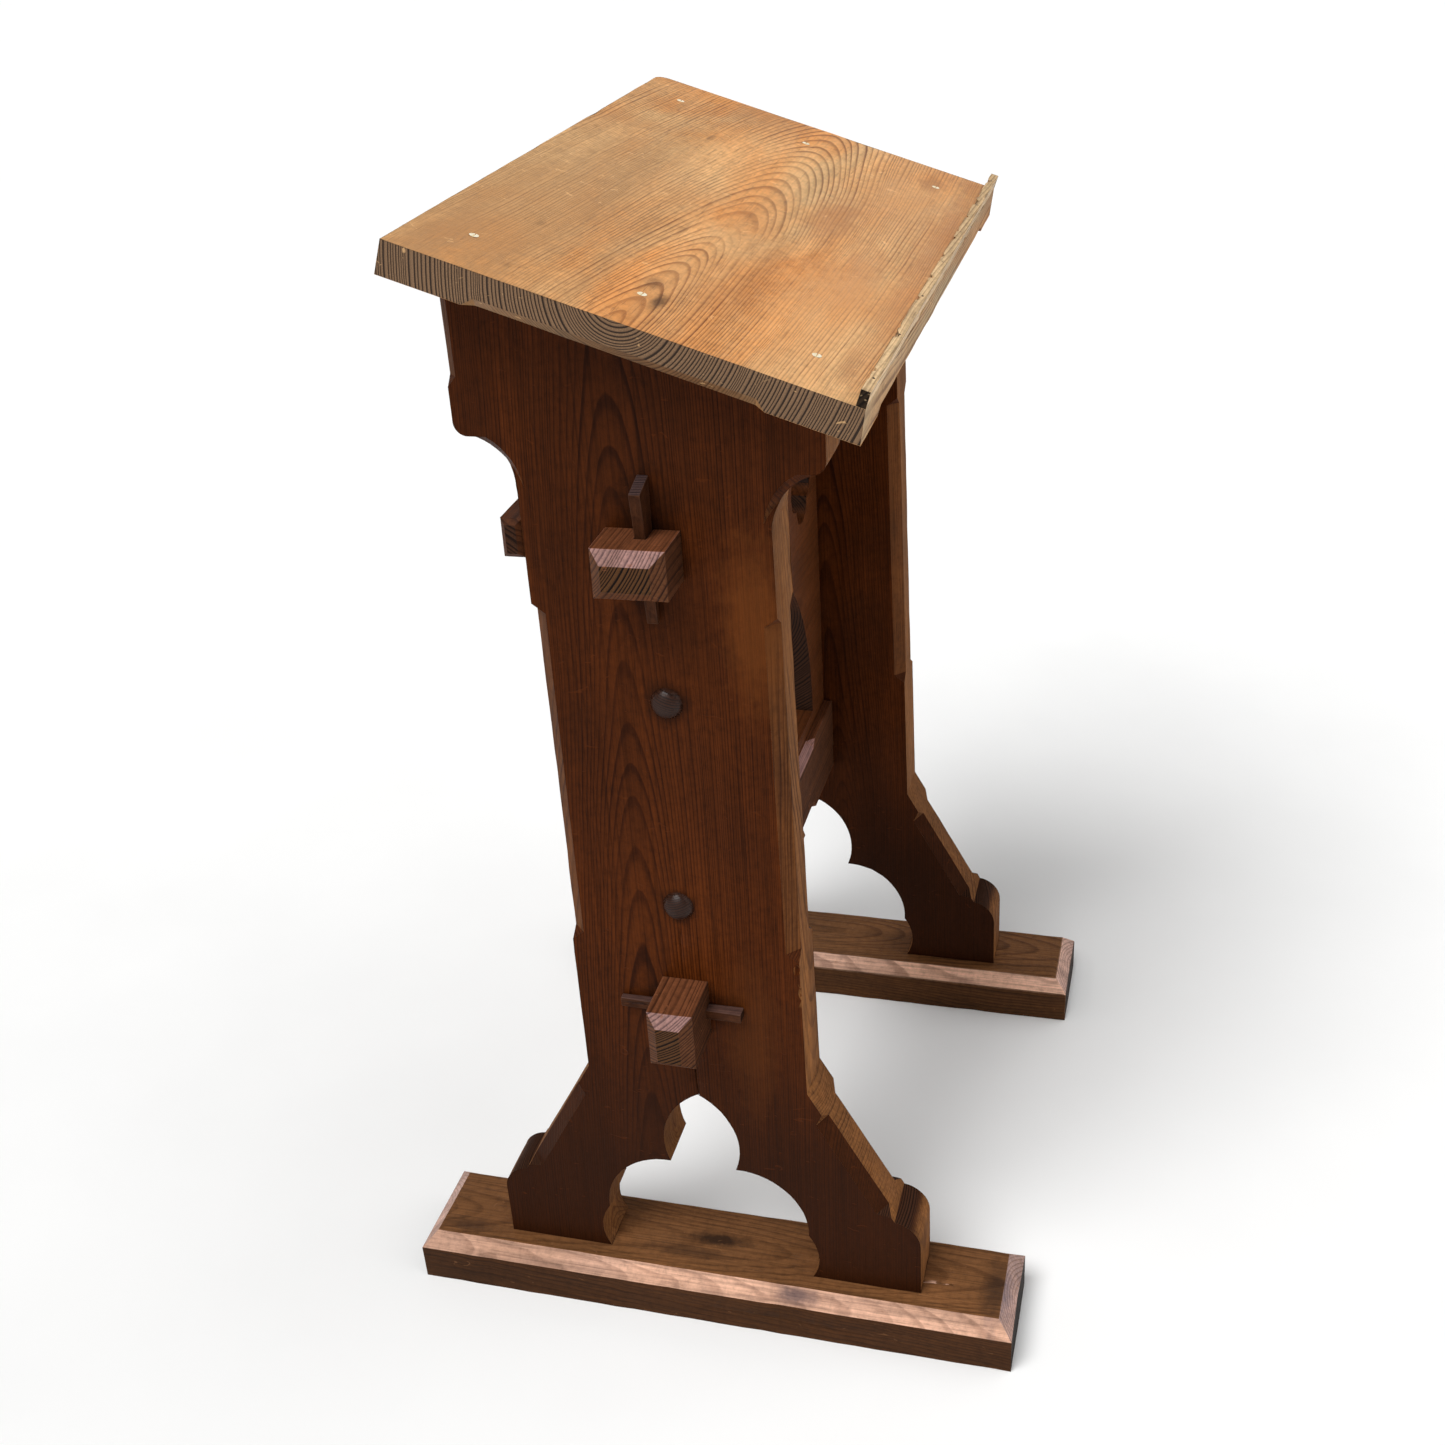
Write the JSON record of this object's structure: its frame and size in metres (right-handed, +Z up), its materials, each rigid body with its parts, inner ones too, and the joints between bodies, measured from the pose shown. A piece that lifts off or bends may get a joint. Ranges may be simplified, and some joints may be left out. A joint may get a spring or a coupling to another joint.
{
  "type": "book lectern",
  "caption": "Standing pitch-pine reading lectern with a sloping desk and book ledge, pierced end panels on sledge feet and rails held by loose tusk wedges.",
  "frame": {"origin": "on the floor, at the middle of the space between the two end panels and midway along the sledge feet", "axes": "+X along the desk towards the reader's right, +Y away from the reader towards the desk's high edge, +Z up"},
  "size_m": [0.758, 0.636, 1.134],
  "materials": {
    "panel_pine": "satin varnished pitch pine, dark red-brown",
    "sledge_pine": "worn varnished pitch pine",
    "desk_pine": "worn honey-coloured pitch pine, satin",
    "ledge_pine": "worn and chipped pitch pine",
    "rail_pine": "satin varnished pitch pine",
    "tracery_pine": "satin varnished pitch pine",
    "rear_rail_pine": "dark stained pine",
    "wedge_wood": "dark waxed hardwood",
    "peg_wood": "dark turned hardwood",
    "brass": "dull worn brass",
    "iron": "dull dark iron"
  },
  "bodies": {
    "stand": {"left_end_panel": "panel_pine", "right_end_panel": "panel_pine", "left_sledge_foot": "sledge_pine", "right_sledge_foot": "sledge_pine", "desk_board": "desk_pine", "book_ledge": "ledge_pine", "ledge_nails": "iron", "left_desk_screws": "brass", "right_desk_screws": "brass", "top_rail": "rail_pine", "bottom_rail": "rail_pine", "tracery_panel": "tracery_pine", "rear_rail": "rear_rail_pine", "rear_rail_screws": "iron", "left_upper_peg": "peg_wood", "left_lower_peg": "peg_wood", "right_upper_peg": "peg_wood", "right_lower_peg": "peg_wood"},
    "left_top_wedge": {"left_top_wedge": "wedge_wood"},
    "right_top_wedge": {"right_top_wedge": "wedge_wood"},
    "left_bottom_wedge": {"left_bottom_wedge": "wedge_wood"},
    "right_bottom_wedge": {"right_bottom_wedge": "wedge_wood"}
  },
  "joints": [
    {"name": "left_top_wedge_lift", "type": "slide", "parent": "stand", "child": "left_top_wedge", "axis": [0, 0, 1], "range_m": [0, 0.06]},
    {"name": "right_top_wedge_lift", "type": "slide", "parent": "stand", "child": "right_top_wedge", "axis": [0, 0, 1], "range_m": [0, 0.06]},
    {"name": "left_bottom_wedge_draw", "type": "slide", "parent": "stand", "child": "left_bottom_wedge", "axis": [0, -1, 0], "range_m": [0, 0.07]},
    {"name": "right_bottom_wedge_draw", "type": "slide", "parent": "stand", "child": "right_bottom_wedge", "axis": [0, -1, 0], "range_m": [0, 0.07]}
  ]
}
